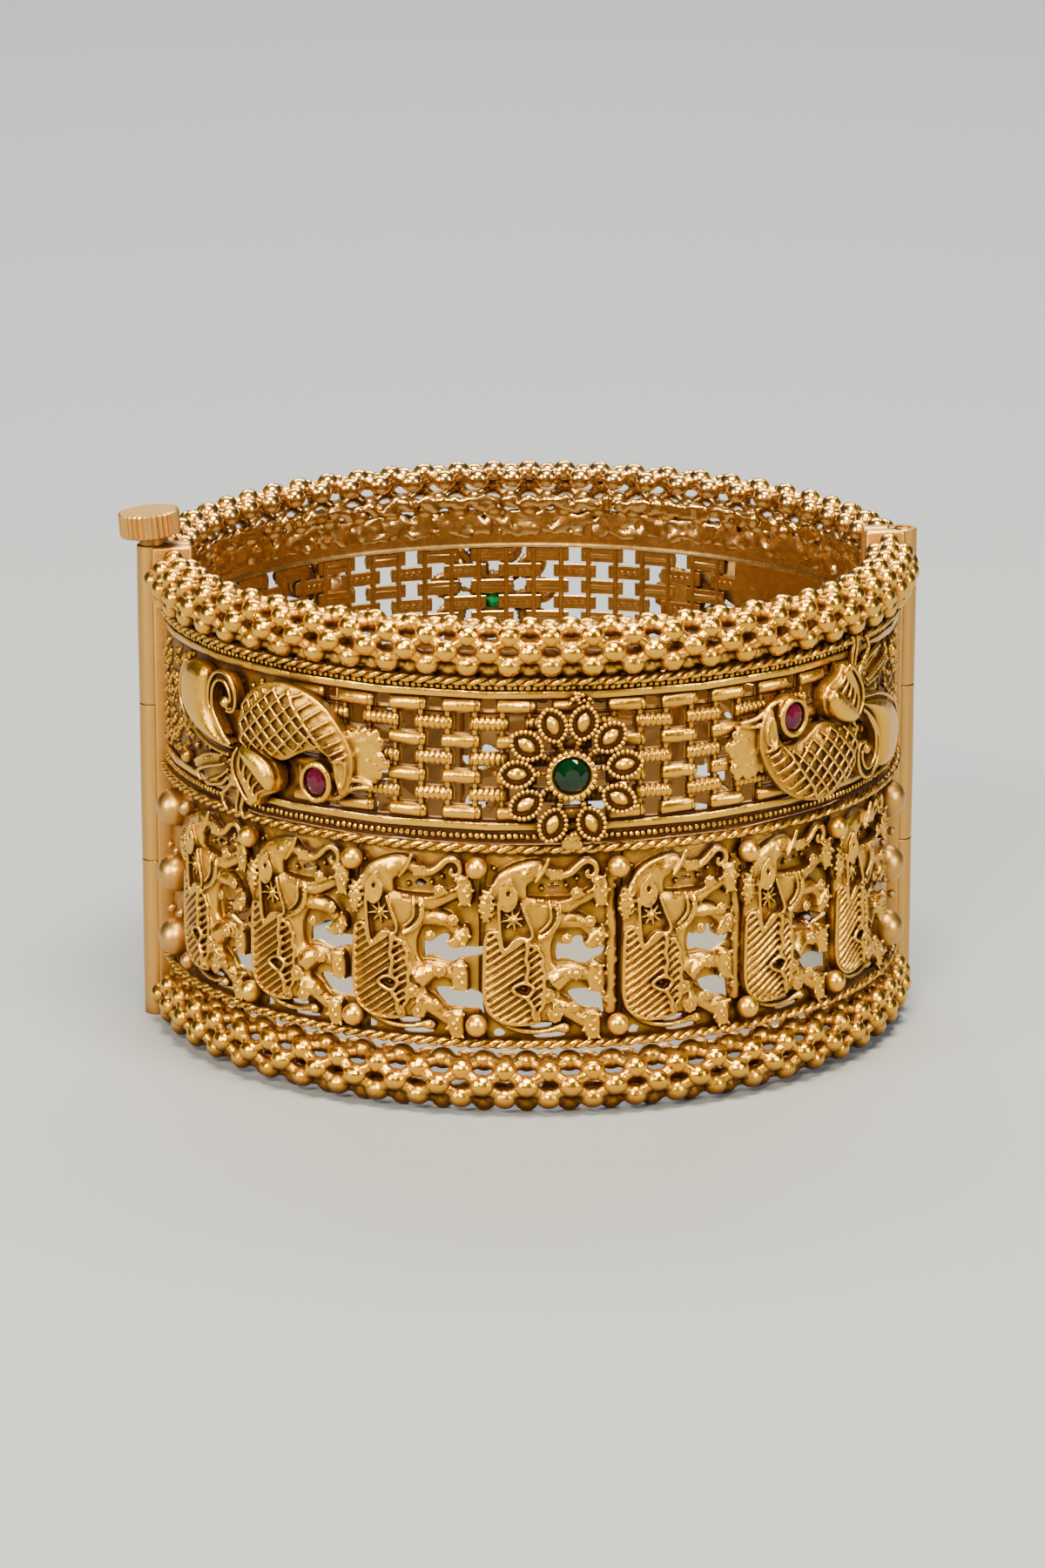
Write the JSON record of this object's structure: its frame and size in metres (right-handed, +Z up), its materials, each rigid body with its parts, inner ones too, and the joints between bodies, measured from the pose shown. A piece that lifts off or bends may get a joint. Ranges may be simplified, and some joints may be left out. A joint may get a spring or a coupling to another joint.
{
  "type": "hinged bracelet",
  "caption": "Openable rigid bangle in antique gold finish: beaded rims, a woven band with peacocks and a flower, an elephant frieze, a hinge and a hand screw.",
  "frame": {"origin": "centre of the ring on the surface the lower rim rests on", "axes": "+Z up along the ring's axis, -Y towards the viewer, the hinge near +X and the hand screw near -X"},
  "size_m": [0.0697, 0.0682, 0.0455],
  "materials": {
    "antique_gold": "matt antique gold with dark recesses",
    "ruby_stone": "polished faceted stone",
    "emerald_stone": "polished faceted stone"
  },
  "bodies": {
    "front_half": {"front_top_rim": "antique_gold", "front_bottom_rim": "antique_gold", "front_weave_band": "antique_gold", "front_rope_top": "antique_gold", "front_rope_middle": "antique_gold", "front_rope_bottom": "antique_gold", "front_elephant_1": "antique_gold", "front_elephant_2": "antique_gold", "front_elephant_3": "antique_gold", "front_elephant_4": "antique_gold", "front_elephant_5": "antique_gold", "front_elephant_6": "antique_gold", "front_elephant_7": "antique_gold", "front_balls": "antique_gold", "front_flower": "antique_gold", "front_emerald": "emerald_stone", "front_left_peacock": "antique_gold", "front_right_peacock": "antique_gold", "front_left_ruby": "ruby_stone", "front_right_ruby": "ruby_stone", "front_screw_end": "antique_gold", "front_hinge_end": "antique_gold", "hinge_pin": "antique_gold"},
    "back_half": {"back_top_rim": "antique_gold", "back_bottom_rim": "antique_gold", "back_weave_band": "antique_gold", "back_rope_top": "antique_gold", "back_rope_middle": "antique_gold", "back_rope_bottom": "antique_gold", "back_elephant_1": "antique_gold", "back_elephant_2": "antique_gold", "back_elephant_3": "antique_gold", "back_elephant_4": "antique_gold", "back_elephant_5": "antique_gold", "back_elephant_6": "antique_gold", "back_elephant_7": "antique_gold", "back_balls": "antique_gold", "back_flower": "antique_gold", "back_emerald": "emerald_stone", "back_left_peacock": "antique_gold", "back_right_peacock": "antique_gold", "back_left_ruby": "ruby_stone", "back_right_ruby": "ruby_stone", "back_screw_end": "antique_gold", "back_hinge_end": "antique_gold"},
    "screw": {"screw": "antique_gold"}
  },
  "joints": [
    {"name": "opening_hinge", "type": "hinge", "parent": "front_half", "child": "back_half", "pos_m": [0.03282, 0.00345, 0], "axis": [0, 0, -1], "range_deg": [0, 90]},
    {"name": "screw_lift", "type": "slide", "parent": "front_half", "child": "screw", "axis": [0, 0, 1], "range_m": [0, 0.0115]}
  ]
}
